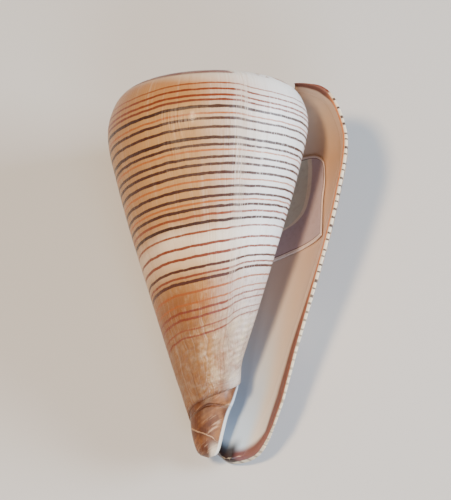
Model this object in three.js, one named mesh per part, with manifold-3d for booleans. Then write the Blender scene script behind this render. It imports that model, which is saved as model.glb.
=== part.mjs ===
// A cone shell: a coiled shell of six turns, lying on its back with its opening upward, and a small
// blank paper label stuck inside the opening.
// Millimetres. The shell is built round its own axis (apex up +Y, opening toward +Z and +X) and
// then laid down.
import * as THREE from "three";
import { mergeVertices } from "three/addons/utils/BufferGeometryUtils.js";
import Module from "manifold-3d";

const wasm = await Module();
wasm.setup();

const TURN = 2 * Math.PI;
const RAD = Math.PI / 180;

// Growth: each older turn is the newer one made smaller by these rates.
const WIDTH_RATE = 1.36;
const DEPTH_RATE = 1.437;
const TURNS = 6;
const STEPS_PER_TURN = 48;
const APEX_HEIGHT = 3.8;
const APEX_POINT_RISE = 0.3;
const LIP_ANGLE = 78 * RAD;

// Profile of the last turn at the lip, [radius, depth below the apex]: the flat top, the shoulder,
// the long side and the narrow front end. Its first point, where it meets the turn before, is
// worked out from SEAM_POINT.
const SEAM_POINT = [24.6, 4.1];
const PROFILE = [
  [SEAM_POINT[0] / WIDTH_RATE, SEAM_POINT[1] / DEPTH_RATE],
  [21.7, 3.2],
  SEAM_POINT,
  [26.9, 6.3],
  [28.3, 9.2],
  [29.15, 12.3],
  [29.4, 15.5],
  [28.9, 20.0],
  [27.3, 27.0],
  [24.7, 37.5],
  [21.6, 48.5],
  [18.2, 60.0],
  [14.9, 71.0],
  [11.9, 81.0],
  [9.2, 89.5],
  [7.4, 96.0],
  [6.9, 102.0],
  [3.4, 111.0],
  [0.8, 118.0],
  [0.4, 126.0],
];
const SEAM_INDEX = 2;
const SHOULDER_INDEX = 6;
const TOP_ROWS_PER_POINT = 2;
const SIDE_ROWS = 14;

// The lip flares out, by this share of the radius, and the flare fades back round the shell.
const FLARE = [[0, 0.03], [8, 0.035], [15, 0.045], [30, 0.06], [50, 0.065], [64, 0.07], [75, 0.1],
  [85, 0.06], [95, 0.03], [126, 0.03]];
const FLARE_FADE = 140;
const LIP_RISE = 1.5;
const LIP_RISE_DEPTH = 14;

// Depth at which the wall ends at the front, [degrees back from the lip, depth].
const WALL_END = [[-10, 77], [0, 80], [10, 84], [20, 86], [35, 87], [55, 87.2], [70, 86.9],
  [85, 86], [100, 84.5], [130, 82], [160, 79.5], [192, 77.5], [250, 75], [322, 72.3], [370, 70.5]];

// Living chamber: how far it reaches back, how deep it goes, and the walls left round it. The wall
// is thickest on the back of the shell, [degrees back from the lip, thickness].
const CHAMBER_START = -3;
const CHAMBER_END = 312;
const CHAMBER_STEP = 7.5;
const CHAMBER_TAPER = 70;
const CHAMBER_FLOOR = [[-10, 95], [78, 95], [120, 79], [192, 71], [322, 60], [370, 56]];
const WALL = [[-10, 1.0], [0, 1.0], [12, 1.5], [40, 2.6], [60, 3.5], [115, 3.4], [160, 1.7],
  [370, 1.6]];
const GLAZE = [[-10, 0.22], [0, 0.22], [40, 0.4], [370, 0.4]];
const CHAMBER_POINTS = 20;
const CHAMBER_END_SHARE = 0.02;
const CHAMBER_CLEARANCE = 0.4;
const CORE_RADIUS = 0.3;
const WALL_SAMPLES = 120;
const GLAZE_SAMPLES = 60;
// Below this depth the inside of the wall goes on straight, closing in by its radius in this length.
const STRAIGHT_FROM = 101;
const STRAIGHT_LENGTH = 120;

// The pillar at the front end, [height, across, out, half width, half thickness].
const PILLAR = [
  [-84.2, -2.25, -0.4, 0.5, 0.5],
  [-83.6, -2.3, -0.3, 1.9, 1.7],
  [-82.0, -2.35, -0.3, 2.65, 2.9],
  [-80.0, -2.4, -0.3, 3.15, 3.5],
  [-77.0, -2.3, -0.3, 3.8, 4.3],
  [-74.0, -2.0, -0.2, 4.3, 4.9],
  [-70.0, -1.0, 0.0, 4.9, 5.2],
  [-65.0, -0.1, 0.0, 4.9, 4.9],
  [-58.0, 0.0, 0.0, 4.2, 4.2],
  [-45.0, 0.0, 0.0, 3.0, 3.0],
  [-30.0, 0.0, 0.0, 2.2, 2.2],
  [-22.0, 0.0, 0.0, 1.4, 1.4],
];
const PILLAR_SIDES = 20;
const FRONT_CORE_RADIUS = 1.3;
const FRONT_CORE_HEIGHTS = [-78, -90];

// Paper label on the inner face of the outer wall. Its edges: [degrees back from the lip] down the
// side near the lip and at the far side, and depths (as measured at the lip) of its ends.
const LABEL_NEAR_SIDE = [[0, 30], [0.25, 27], [0.6, 23], [1, 13]];
const LABEL_FAR_SIDE = 78;
const LABEL_TOP = 14;
const LABEL_BOTTOM = [[0, 37], [0.5, 39.5], [1, 43]];
const LABEL_CORNER = 0.3;
const LABEL_CORNER_DROP = 6;
const LABEL_GAP = 0.3;
const LABEL_THICKNESS = 0.35;
const LABEL_COLUMNS = 9;
const LABEL_ROWS = 10;
const SLOPE_STEP = 0.3;

// How the shell lies, and how deep its back is worn flat where it lies.
const REST_ROLL = 2.3 * RAD;
const REST_PITCH = 14.6 * RAD;
const REST_FLAT_DEPTH = 0.45;
const CUTTER_SIZE = 200;

const ROUNDING = 1e-6;
const HALVINGS = 30;

const profileCurve = new THREE.SplineCurve(PROFILE.map(([radius, depth]) =>
  new THREE.Vector2(radius, depth)));

function profilePoint(index) {
  return profileCurve.getPoint(index / (PROFILE.length - 1));
}

// Value of a table of [place, value] rows, in straight lines between its rows.
function along(table, place) {
  const last = table.length - 1;
  if (place <= table[0][0]) return table[0][1];
  if (place >= table[last][0]) return table[last][1];
  let row = 0;
  while (table[row + 1][0] < place) row += 1;
  const share = (place - table[row][0]) / (table[row + 1][0] - table[row][0]);
  return THREE.MathUtils.lerp(table[row][1], table[row + 1][1], share);
}

// Radius of the profile at a depth, below the shoulder or on its upper half.
function sideRadius(depth, from = SHOULDER_INDEX) {
  let low = from;
  let high = PROFILE.length - 1;
  for (let pass = 0; pass < HALVINGS; pass += 1) {
    const middle = (low + high) / 2;
    if (profilePoint(middle).y < depth) low = middle;
    else high = middle;
  }
  return profilePoint(low).x;
}

// A profile point (radius, depth at the lip) carried back round the coil by an angle.
function grown(point, back) {
  const turns = back / TURN;
  const fade = 1 - THREE.MathUtils.smoothstep(Math.max(back, 0), 0, FLARE_FADE * RAD);
  const top = 1 - THREE.MathUtils.smoothstep(point.y, 2, LIP_RISE_DEPTH);
  return {
    radius: point.x * WIDTH_RATE ** -turns * (1 + along(FLARE, point.y) * fade),
    depth: point.y * DEPTH_RATE ** -turns - LIP_RISE * fade * top,
  };
}

function place({ radius, depth }, back) {
  const angle = LIP_ANGLE + back;
  return [radius * Math.sin(angle), APEX_HEIGHT - depth, radius * Math.cos(angle)];
}

// All rows of the outer surface at one angle, from the seam to the end of the wall.
function outerSection(back) {
  const rows = [];
  for (let row = 0; row < SHOULDER_INDEX * TOP_ROWS_PER_POINT; row += 1) {
    rows.push(grown(profilePoint(row / TOP_ROWS_PER_POINT), back));
  }
  const end = along(WALL_END, back / RAD) * DEPTH_RATE ** (back / TURN);
  const start = PROFILE[SHOULDER_INDEX][1];
  for (let row = 0; row <= SIDE_ROWS; row += 1) {
    const depth = THREE.MathUtils.lerp(start, end, row / SIDE_ROWS);
    rows.push(grown(new THREE.Vector2(sideRadius(depth), depth), back));
  }
  return rows;
}

function solidOf(points, triangles) {
  const solid = new wasm.Manifold(new wasm.Mesh({
    numProp: 3,
    vertProperties: new Float32Array(points.flat()),
    triVerts: new Uint32Array(triangles.flat()),
  }));
  if (solid.volume() > 0) return solid;
  return solidOf(points, triangles.map(([a, b, c]) => [a, c, b]));
}

// The shell as one filled body: spiral top, last turn, and the flat step at the lip.
function filledShell() {
  const points = [];
  const triangles = [];
  const seamRow = SEAM_INDEX * TOP_ROWS_PER_POINT;
  const lastStep = TURNS * STEPS_PER_TURN;
  const rowsInTurn = outerSection(0).length;
  const ids = new Map();
  // The seam row of one turn and the inner edge of the next newer turn are the same points.
  const id = (step, row) => {
    if (row === 0 && step + STEPS_PER_TURN <= lastStep) return id(step + STEPS_PER_TURN, seamRow);
    const key = `${step},${row}`;
    if (!ids.has(key)) {
      const back = step / STEPS_PER_TURN * TURN;
      const at = back <= TURN + ROUNDING
        ? outerSection(back)[row]
        : grown(profilePoint(row / TOP_ROWS_PER_POINT), back);
      ids.set(key, points.length);
      points.push(place(at, back));
    }
    return ids.get(key);
  };
  const axisId = (step) => {
    const key = `axis${step}`;
    if (!ids.has(key)) {
      const end = outerSection(step / STEPS_PER_TURN * TURN)[rowsInTurn - 1].depth;
      ids.set(key, points.length);
      points.push([0, APEX_HEIGHT - end, 0]);
    }
    return ids.get(key);
  };
  const quad = (a, b, c, d) => triangles.push([a, b, c], [a, c, d]);
  for (let step = 0; step < lastStep; step += 1) {
    const rows = step < STEPS_PER_TURN ? rowsInTurn - 1 : seamRow;
    for (let row = 0; row < rows; row += 1) {
      quad(id(step, row), id(step, row + 1), id(step + 1, row + 1), id(step + 1, row));
    }
    if (step < STEPS_PER_TURN) {
      quad(id(step, rows), axisId(step), axisId(step + 1), id(step + 1, rows));
    }
  }
  // Apex.
  const apex = points.length;
  points.push([0, APEX_HEIGHT + APEX_POINT_RISE, 0]);
  for (let step = lastStep - STEPS_PER_TURN; step < lastStep; step += 1) {
    triangles.push([apex, id(step, 0), id(step + 1, 0)]);
  }
  for (let row = 0; row < seamRow; row += 1) {
    triangles.push([apex, id(lastStep, row), id(lastStep, row + 1)]);
  }
  // Flat step at the lip, between the newest section and the one a turn older: triangles from
  // side to side, going down.
  const newer = [];
  for (let row = 0; row < rowsInTurn; row += 1) newer.push(id(0, row));
  const older = [];
  for (let row = seamRow + 1; row < rowsInTurn; row += 1) older.push(id(STEPS_PER_TURN, row));
  for (let step = STEPS_PER_TURN; step >= 0; step -= 1) older.push(axisId(step));
  let left = 1;
  let right = 0;
  triangles.push([newer[1], newer[0], older[0]]);
  while (left < newer.length - 1 || right < older.length - 1) {
    const downLeft = left < newer.length - 1 && (right === older.length - 1
      || points[newer[left + 1]][1] > points[older[right + 1]][1]);
    if (downLeft) {
      triangles.push([newer[left + 1], newer[left], older[right]]);
      left += 1;
    } else {
      triangles.push([older[right + 1], newer[left], older[right]]);
      right += 1;
    }
  }
  return solidOf(points, triangles);
}

// Radius of the turn before, or of the glaze on it, at a real depth.
function innerRadius(back, depth) {
  const turns = 1 + back / TURN;
  const asAtLip = Math.max(depth * DEPTH_RATE ** turns, PROFILE[SHOULDER_INDEX][1]);
  return Math.max(sideRadius(asAtLip) * WIDTH_RATE ** -turns, CORE_RADIUS)
    + along(GLAZE, back / RAD);
}

// Points spread evenly along a line of [radius, depth] points.
function spread(line, count) {
  const lengths = [0];
  for (let index = 1; index < line.length; index += 1) {
    const step = Math.hypot(line[index][0] - line[index - 1][0], line[index][1] - line[index - 1][1]);
    lengths.push(lengths[index - 1] + step);
  }
  const total = lengths[lengths.length - 1];
  const points = [];
  for (let number = 0; number < count; number += 1) {
    const wanted = total * number / (count - 1);
    let index = 0;
    while (index < line.length - 2 && lengths[index + 1] < wanted) index += 1;
    const share = (wanted - lengths[index]) / (lengths[index + 1] - lengths[index]);
    points.push([
      THREE.MathUtils.lerp(line[index][0], line[index + 1][0], share),
      THREE.MathUtils.lerp(line[index][1], line[index + 1][1], share),
    ]);
  }
  return points;
}

// Inner face of the outer wall at one angle, from the seam corner to the chamber floor.
function wallInside(back) {
  const wall = along(WALL, back / RAD);
  const scale = DEPTH_RATE ** (back / TURN);
  const floor = along(CHAMBER_FLOOR, back / RAD);
  const line = [];
  for (let part = 0; part <= WALL_SAMPLES; part += 1) {
    const index = part / WALL_SAMPLES * SHOULDER_INDEX;
    line.push(grown(profilePoint(index), back));
  }
  const start = PROFILE[SHOULDER_INDEX][1];
  for (let part = 1; part <= WALL_SAMPLES; part += 1) {
    const depth = THREE.MathUtils.lerp(start, floor * scale, part / WALL_SAMPLES);
    const straight = 1 - Math.max(depth - STRAIGHT_FROM, 0) / STRAIGHT_LENGTH;
    const radius = sideRadius(Math.min(depth, STRAIGHT_FROM)) * straight;
    line.push(grown(new THREE.Vector2(radius, depth), back));
  }
  const inside = [];
  for (let index = 1; index < line.length - 1; index += 1) {
    const acrossRadius = line[index + 1].radius - line[index - 1].radius;
    const acrossDepth = line[index + 1].depth - line[index - 1].depth;
    const length = Math.hypot(acrossRadius, acrossDepth);
    inside.push([
      line[index].radius - wall * acrossDepth / length,
      line[index].depth + wall * acrossRadius / length,
    ]);
  }
  return inside.filter(([radius, depth]) =>
    radius > innerRadius(back, depth) + CHAMBER_CLEARANCE);
}

// Living chamber, as a solid to take away.
function chamber() {
  const sections = [];
  for (let degrees = CHAMBER_START; degrees <= CHAMBER_END; degrees += CHAMBER_STEP) {
    const back = degrees * RAD;
    const outside = wallInside(back);
    const [, topDepth] = outside[0];
    const [, endDepth] = outside[outside.length - 1];
    const inside = [];
    for (let part = 0; part <= GLAZE_SAMPLES; part += 1) {
      const depth = THREE.MathUtils.lerp(endDepth, topDepth, part / GLAZE_SAMPLES);
      inside.push([innerRadius(back, depth), depth]);
    }
    const loop = [...spread(outside, CHAMBER_POINTS), ...spread(inside, CHAMBER_POINTS)];
    const taper = THREE.MathUtils.clamp((CHAMBER_END - degrees) / CHAMBER_TAPER, 0, 1);
    const size = THREE.MathUtils.lerp(CHAMBER_END_SHARE, 1, Math.sqrt(1 - (1 - taper) ** 2));
    const middle = [0, 1].map((axis) =>
      loop.reduce((sum, point) => sum + point[axis], 0) / loop.length);
    sections.push(loop.map(([radius, depth]) => place({
      radius: middle[0] + (radius - middle[0]) * size,
      depth: middle[1] + (depth - middle[1]) * size,
    }, back)));
  }
  return loft(sections);
}

// Solid through a row of closed loops, each with the same even number of points.
function loft(sections) {
  const count = sections[0].length;
  const points = sections.flat();
  const triangles = [];
  for (let section = 0; section < sections.length - 1; section += 1) {
    for (let index = 0; index < count; index += 1) {
      const next = (index + 1) % count;
      const a = section * count + index;
      const b = section * count + next;
      triangles.push([a, b, b + count], [a, b + count, a + count]);
    }
  }
  // Each end is closed by a strip from one side of the loop to the other.
  [0, sections.length - 1].forEach((section, end) => {
    for (let index = 0; index < count / 2 - 1; index += 1) {
      const [a, b, c, d] = [index, index + 1, count - 2 - index, count - 1 - index]
        .map((corner) => section * count + corner);
      const corners = [[a, b, c], [a, c, d]];
      triangles.push(...(end === 0 ? corners.map((corner) => corner.reverse()) : corners));
    }
  });
  return solidOf(points, triangles);
}

// Closed oval loop of points across the axis.
function oval(height, across, out, halfWidth, halfThickness) {
  const loop = [];
  for (let side = 0; side < PILLAR_SIDES; side += 1) {
    const angle = side / PILLAR_SIDES * TURN;
    loop.push([across + halfWidth * Math.sin(angle), height, out + halfThickness * Math.cos(angle)]);
  }
  return loop;
}

function pillar() {
  return loft(PILLAR.map((row) => oval(...row)));
}

// What the steps of the wall leave round the axis in front of the pillar, to take away.
function frontCore() {
  return loft(FRONT_CORE_HEIGHTS.map((height) =>
    oval(height, 0, 0, FRONT_CORE_RADIUS, FRONT_CORE_RADIUS)));
}

// Point on or inside the inner face of the outer wall.
function onWallInside(back, depth, inset) {
  const [before, at, after] = [depth - SLOPE_STEP, depth, depth + SLOPE_STEP].map((level) =>
    grown(new THREE.Vector2(sideRadius(level, SEAM_INDEX), level), back));
  const acrossRadius = after.radius - before.radius;
  const acrossDepth = after.depth - before.depth;
  const length = Math.hypot(acrossRadius, acrossDepth);
  return place({
    radius: at.radius - inset * acrossDepth / length,
    depth: at.depth + inset * acrossRadius / length,
  }, back);
}

// Curved plate: a grid of points in front, the same grid behind, and its edges.
function label() {
  const points = [];
  const triangles = [];
  const columns = LABEL_COLUMNS;
  const rows = LABEL_ROWS;
  for (const lift of [LABEL_GAP + LABEL_THICKNESS, LABEL_GAP]) {
    for (let row = 0; row <= rows; row += 1) {
      for (let column = 0; column <= columns; column += 1) {
        const across = column / columns;
        const down = row / rows;
        const degrees = THREE.MathUtils.lerp(along(LABEL_NEAR_SIDE, down), LABEL_FAR_SIDE, across);
        const corner = Math.max(0, 1 - across / LABEL_CORNER);
        const top = LABEL_TOP + LABEL_CORNER_DROP * (1 - Math.sqrt(1 - corner * corner));
        const depth = THREE.MathUtils.lerp(top, along(LABEL_BOTTOM, across), down);
        points.push(onWallInside(degrees * RAD, depth, along(WALL, degrees) + lift));
      }
    }
  }
  const layer = (rows + 1) * (columns + 1);
  const id = (row, column) => row * (columns + 1) + column;
  const edge = [];
  for (let column = 0; column < columns; column += 1) edge.push(id(0, column));
  for (let row = 0; row < rows; row += 1) edge.push(id(row, columns));
  for (let column = columns; column > 0; column -= 1) edge.push(id(rows, column));
  for (let row = rows; row > 0; row -= 1) edge.push(id(row, 0));
  for (let row = 0; row < rows; row += 1) {
    for (let column = 0; column < columns; column += 1) {
      const [a, b] = [id(row, column), id(row, column + 1)];
      const [c, d] = [id(row + 1, column + 1), id(row + 1, column)];
      triangles.push([a, b, c], [a, c, d]);
      triangles.push([a + layer, c + layer, b + layer], [a + layer, d + layer, c + layer]);
    }
  }
  edge.forEach((a, index) => {
    const b = edge[(index + 1) % edge.length];
    triangles.push([b, a, a + layer], [b, a + layer, b + layer]);
  });
  return solidOf(points, triangles);
}

function meshOf(solid, name, material, turn) {
  const { vertProperties, triVerts, numProp } = solid.getMesh();
  const positions = new Float32Array(vertProperties.length / numProp * 3);
  for (let index = 0; index < positions.length / 3; index += 1) {
    positions.set(vertProperties.subarray(index * numProp, index * numProp + 3), index * 3);
  }
  const geometry = new THREE.BufferGeometry();
  geometry.setAttribute("position", new THREE.BufferAttribute(positions, 3));
  geometry.setIndex(new THREE.BufferAttribute(new Uint32Array(triVerts), 1));
  geometry.applyMatrix4(turn);
  const mesh = new THREE.Mesh(geometry, material);
  mesh.name = name;
  return mesh;
}

// A large block whose top face is the plane that the shell is worn flat to, to take away.
function underSurface(solid, lying) {
  const { vertProperties, numProp } = solid.getMesh();
  const corner = new THREE.Vector3();
  let lowest = Infinity;
  for (let start = 0; start < vertProperties.length; start += numProp) {
    corner.fromArray(vertProperties, start).applyMatrix4(lying);
    lowest = Math.min(lowest, corner.z);
  }
  const block = new THREE.BoxGeometry(CUTTER_SIZE, CUTTER_SIZE, CUTTER_SIZE);
  block.deleteAttribute("normal");
  block.deleteAttribute("uv");
  block.translate(0, 0, lowest + REST_FLAT_DEPTH - CUTTER_SIZE / 2);
  block.applyMatrix4(lying.clone().invert());
  const merged = mergeVertices(block);
  return new wasm.Manifold(new wasm.Mesh({
    numProp: 3,
    vertProperties: merged.getAttribute("position").array,
    triVerts: new Uint32Array(merged.index.array),
  }));
}

const lying = new THREE.Matrix4().makeRotationX(REST_PITCH)
  .multiply(new THREE.Matrix4().makeRotationY(REST_ROLL));
const wholeShell = filledShell().subtract(chamber()).subtract(frontCore()).add(pillar());
const shellSolid = wholeShell.subtract(underSurface(wholeShell, lying));

const shellMaterial = new THREE.MeshStandardMaterial({ color: 0xd2b49a, roughness: 0.35 });
const paperMaterial = new THREE.MeshStandardMaterial({ color: 0xc9bcc0, roughness: 0.8 });

const object = new THREE.Group();
object.name = "cone_shell";
object.add(meshOf(shellSolid, "shell", shellMaterial, lying));
object.add(meshOf(label(), "paper_label", paperMaterial, lying));

// The origin is under the middle of the object, on the surface that it lies on.
const box = new THREE.Box3().setFromObject(object);
const middle = box.getCenter(new THREE.Vector3());
for (const mesh of object.children) mesh.geometry.translate(-middle.x, -middle.y, -box.min.z);

export default object;
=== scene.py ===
# A cone shell with a small blank paper label inside its opening. The shell follows one rule of
# growth, so node trees built here grow it: each older turn is the newer one made smaller.
# Lengths are millimetres until a piece is laid down, except for the floor and the lights.
from math import radians

import bpy
from mathutils import Euler, Matrix, Vector


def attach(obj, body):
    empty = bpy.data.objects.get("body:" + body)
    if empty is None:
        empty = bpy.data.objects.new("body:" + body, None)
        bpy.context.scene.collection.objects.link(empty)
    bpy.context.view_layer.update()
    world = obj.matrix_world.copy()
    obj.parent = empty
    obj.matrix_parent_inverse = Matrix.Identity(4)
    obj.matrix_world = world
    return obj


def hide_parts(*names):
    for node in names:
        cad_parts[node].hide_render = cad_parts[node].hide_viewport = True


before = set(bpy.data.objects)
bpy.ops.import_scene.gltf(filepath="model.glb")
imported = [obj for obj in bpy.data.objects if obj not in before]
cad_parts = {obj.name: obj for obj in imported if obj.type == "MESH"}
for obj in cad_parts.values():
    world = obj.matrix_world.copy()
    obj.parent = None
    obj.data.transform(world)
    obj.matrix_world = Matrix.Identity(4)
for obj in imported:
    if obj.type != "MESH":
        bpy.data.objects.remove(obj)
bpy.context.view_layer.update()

MM = 0.001

# Growth, as in the solids.
WIDTH_RATE = 1.36
DEPTH_RATE = 1.437
APEX_HEIGHT = 3.8
LIP_ANGLE = 78.0
FULL_TURN = 360.0

# Profile of the last turn at the lip, [radius, depth below the apex].
SEAM_POINT = (24.6, 4.1)
PROFILE = [
    (SEAM_POINT[0] / WIDTH_RATE, SEAM_POINT[1] / DEPTH_RATE),
    (21.7, 3.2),
    SEAM_POINT,
    (26.9, 6.3),
    (28.3, 9.2),
    (29.15, 12.3),
    (29.4, 15.5),
    (28.9, 20.0),
    (27.3, 27.0),
    (24.7, 37.5),
    (21.6, 48.5),
    (18.2, 60.0),
    (14.9, 71.0),
    (11.9, 81.0),
    (9.2, 89.5),
    (7.4, 96.0),
    (6.9, 102.0),
    (3.4, 111.0),
    (0.8, 118.0),
    (0.4, 126.0),
]
LAST_INDEX = len(PROFILE) - 1
# About how far apart the last points of the profile are along it.
FRONT_SPACING = 9.0
SHOULDER_INDEX = 6
RADIUS_REACH = 30.0
DEPTH_REACH = 126.0

# The lip flares by this share of the radius at each depth, and rises a little at the top.
FLARE = [(0, 0.03), (8, 0.035), (15, 0.045), (30, 0.06), (50, 0.065), (64, 0.07), (75, 0.1),
         (85, 0.06), (95, 0.03), (126, 0.03)]
FLARE_FADE = 140.0
LIP_RISE = 1.5
LIP_RISE_FROM = 2.0
LIP_RISE_TO = 14.0

# Depth below the apex at which the wall ends at the front, by degrees back from the lip.
WALL_END = [(0, 80), (10, 84), (20, 86.2), (35, 87.5), (55, 88.2), (70, 88.3), (85, 87.9),
            (100, 86.5), (130, 83), (160, 79.8), (192, 77.5), (250, 75), (322, 72.3), (370, 70.5)]
# Thickness of the wall, by degrees back from the lip.
WALL = [(0, 1.0), (12, 1.5), (40, 2.6), (60, 3.5), (115, 3.4), (160, 1.7), (370, 1.6), (540, 1.6)]
WALL_REACH = 4.0

# The sheet of wall: how far back it is followed, and how finely.
SHEET_END = 540.0
LIP_COLUMNS = 8
LIP_ROUNDING = 1.2
FINE_STEP = 1.5
FINE_COLUMNS = 264
COARSE_STEP = 5.0
TOP_ROWS = 28
SIDE_ROWS = 66
EDGE_ROWS = 6
# Along the profile: how much of it the rounded front edge, the rounded seams and the taper at the
# top take, how far from a place its slope is taken, and how much of it the older turns show.
EDGE_INDEX = 0.12
SEAM_INDEX = 0.25
TOP_TAPER_INDEX = 2.5
SLOPE_INDEX = 0.05
SPIRE_INDEX = 3
EDGE_POWER = 2.2
TOP_THINNESS = 0.15
SPIRE_STEP = 7.5
SPIRE_END = 4320.0
SEAM_MERGE = 0.004

# The pillar at the front end, [height, across, out, half width, half thickness].
PILLAR = [
    (-83.5, -2.25, -0.4, 0.5, 0.5),
    (-82.9, -2.3, -0.3, 1.9, 1.7),
    (-81.6, -2.35, -0.3, 2.65, 2.9),
    (-80.0, -2.4, -0.3, 3.15, 3.5),
    (-77.0, -2.3, -0.3, 3.8, 4.3),
    (-74.0, -2.0, -0.2, 4.3, 4.9),
    (-70.0, -1.0, 0.0, 4.9, 5.2),
    (-65.0, -0.1, 0.0, 4.9, 4.9),
    (-58.0, 0.0, 0.0, 4.2, 4.2),
    (-45.0, 0.0, 0.0, 3.0, 3.0),
    (-30.0, 0.0, 0.0, 2.2, 2.2),
    (-22.0, 0.0, 0.0, 1.4, 1.4),
]
PILLAR_SIDES = 96
PILLAR_ROWS = 110
# Its tables hold no value below zero, so what may be negative is shifted up by this much.
PILLAR_REACH = 6.0
PILLAR_SHIFTS = (3.0, 1.0, 0.0, 0.0)
# Each end closes over one part in this many of its length.
PILLAR_END_PARTS = 60
# Its own places, kept clear of the wall's: degrees at its front face, this many more towards the
# opening and fewer away from it, and depth at its tip.
PILLAR_BACK = 282.0
PILLAR_SPAN = 90
PILLAR_DEPTH = 140.0
PILLAR_SCALE = 0.4
# Its cords slant by this much, and are this much stretched.
PILLAR_CORD_SLANT = radians(-35)
PILLAR_CORD_SCALE = (0.14, 1.1, 0.14)

# Thin brown lines round the outside, at these depths on the lip: [depth, boldness, warmth].
LINES = [
    (9.0, 0.35, 0.7), (11.0, 0.6, 0.5), (13.0, 0.7, 0.5), (14.5, 0.65, 0.35), (16.5, 1.0, 0.05),
    (18.5, 0.45, 0.85), (20.0, 0.8, 0.1), (22.5, 0.8, 0.1), (25.5, 1.0, 0.05), (27.5, 0.8, 0.1),
    (29.0, 0.45, 1.0), (31.0, 0.8, 0.1), (33.0, 0.85, 0.1), (35.5, 0.9, 0.1), (37.5, 0.45, 1.0),
    (39.5, 0.85, 0.1), (42.0, 0.85, 0.1), (43.5, 0.5, 1.0), (45.0, 0.85, 0.1), (47.0, 0.65, 0.6),
    (49.0, 0.9, 0.05), (51.5, 0.5, 0.6), (55.0, 0.7, 0.5), (58.0, 0.75, 0.5), (61.0, 0.75, 0.15),
    (63.0, 0.55, 0.5), (64.5, 0.95, 0.15), (67.5, 0.6, 0.8), (70.5, 0.4, 0.85), (72.5, 0.6, 0.45),
    (74.5, 0.6, 0.5), (77.5, 0.3, 0.6), (79.5, 0.4, 0.5),
]
LAST_LINE = len(LINES) - 1
LINES_REACH = 84.0
LINE_HALF_WIDTH = 0.5
LINE_SOFTNESS = 0.11
LINE_RIPPLE = 0.55
LINE_RIPPLE_SCALE = 0.12

# Relief of the outside: [over the side, more at the growth scar, more at the front end].
FINE_RELIEF = (0.17, 0.08, 0.04)
BROAD_RELIEF = (0.14, 0.35, 0.6)
CORD_RELIEF = 0.08
CORD_SPACING = 1.9
# A crease and a thread that cross the pillar, this far up from its tip.
CREASE_UP = 11.3
CREASE_DEPTH = 0.3
THREAD_UP = 4.6
THREAD_HEIGHT = 0.15
# How far apart the dark ticks on the edge of the lip are.
TICK_SPACING = 1.8
# The brown line inside the lip: its width, and what is added low down and at the top.
RIM_WIDTH = 0.7
RIM_WIDER_LOW = 3.2
RIM_WIDER_TOP = 1.8

# How far the lines wander up near the top, by degrees back from the lip. Further down, at
# SWAY_MIDDLE below SWAY_TOP, they don't wander, and beyond it they wander the other way.
SWAY = [(0, 1.6), (40, 0.8), (90, 0.2), (150, 0.9), (190, 1.6), (223, 1.4), (241, 1.0), (255, 0.3),
        (271, 0.0), (286, 0.0), (293, 0.2), (307, 1.4), (317, 1.8), (328, 1.9), (343, 1.8),
        (370, 1.6), (540, 1.0)]
SWAY_REACH = 4.0
SWAY_TOP = 10.0
SWAY_MIDDLE = 32.0

# Zones by degrees back from the lip: where each one begins to change and has changed, and for
# some also where it begins to change back and has. The growth scar raises a wider zone than the
# one where it breaks the lines.
LEFT_SIDE = (235.0, 275.0)
# The left limb, which painted shade darkens as the light falls off there.
LEFT_LIMB_SHADE_SPAN = (222.0, 246.0)
WHITE_SIDE = (264.0, 324.0)
RIGHT_OF_SCAR = (294.0, 308.0)
SCAR_BREAK = (292.0, 296.0, 299.0, 304.0)
SCAR_RELIEF = (289.0, 295.0, 301.0, 309.0)
DARK_RIM = (232.0, 240.0, 288.0, 296.0)
BARE_RIM = (292.0, 297.0, 309.0, 314.0)
TAN_FLAMES = (306.0, 312.0)
PALE_FRONT = (286.0, 332.0)
# Where the painted shade along the wall's end grows lighter.
PALE_BRIM = (292.0, 316.0)
NEW_LINING = (110.0, 140.0)
# Where painted cool skylight tints the shaded lining blue.
SKYLIT_LINING_SPAN = (26.0, 46.0)
# Where painted shadow fills the notch at the front end.
NOTCH = (46.0, 62.0)
TICKED_END = (60.0, 90.0)

# Zones by depth on the lip, in the same way.
TOP = (4.9, 5.7)
TOP_OF_LIP = (4.5, 8.0)
TICKED_LIP = (4.0, 7.0)
SHOULDER = (3.0, 6.0, 9.0, 14.0)
BELOW_SHOULDER = (8.0, 14.0)
LINED_SIDE = (7.6, 8.6, 80.0, 83.0)
LOW_ON_LIP = (34.0, 62.0)
FAINT_TICKS = (44.0, 70.0)
THIN_LIP = (48.0, 74.0)
# Where the painted cool skylight on the lining grows stronger low down.
SKYLIT_LINING_DEPTHS = (50.0, 88.0)
LESS_WHITE = (52.0, 72.0)
LEAST_WHITE = (70.0, 92.0)
# Low on the left side, which painted shade darkens.
LOW_LEFT_SHADE_DEPTHS = (56.0, 70.0)
OCHRE_ZONE = (58.0, 66.0, 78.0, 84.0)
FAINT_LINES = (64.0, 72.0)
FRONT_RELIEF = (66.0, 84.0)
FRONT_PAINT = (68.0, 86.0)
NARROWER_RIM = (72.0, 86.0)
ON_PILLAR = (108.0, 112.0)
CREAM_GLAZE = (133.0, 139.0)
PALE_TIP = (138.4, 139.7)

# Zones by distance from the lip or from the wall's front end.
LIP_EDGE = (0.9, 1.3)
MATT_LIP = (3.0, 7.0)
END_EDGE = (0.5, 1.1)
# How far from the wall's end the painted shade in its crease reaches.
BRIM = (0.3, 1.7)
BROWN_END = (1.4, 4.0)
# How far from the wall's end the painted shadow in the notch reaches.
NOTCH_END = (3.0, 7.5)
WRINKLED_END = (3.0, 11.0)

# Gloss.
SHELL_ROUGHNESS = 0.24
OUTSIDE_ROUGHER = 0.04
STREAKS_ROUGHER = 0.12
MATT_ROUGHER = 0.3
SHELL_COAT = 0.04
SHELL_COAT_ROUGHNESS = 0.1
SHELL_SPECULAR = 0.42
PAPER_ROUGHNESS = 0.75
PAPER_SPECULAR = 0.2

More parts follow.
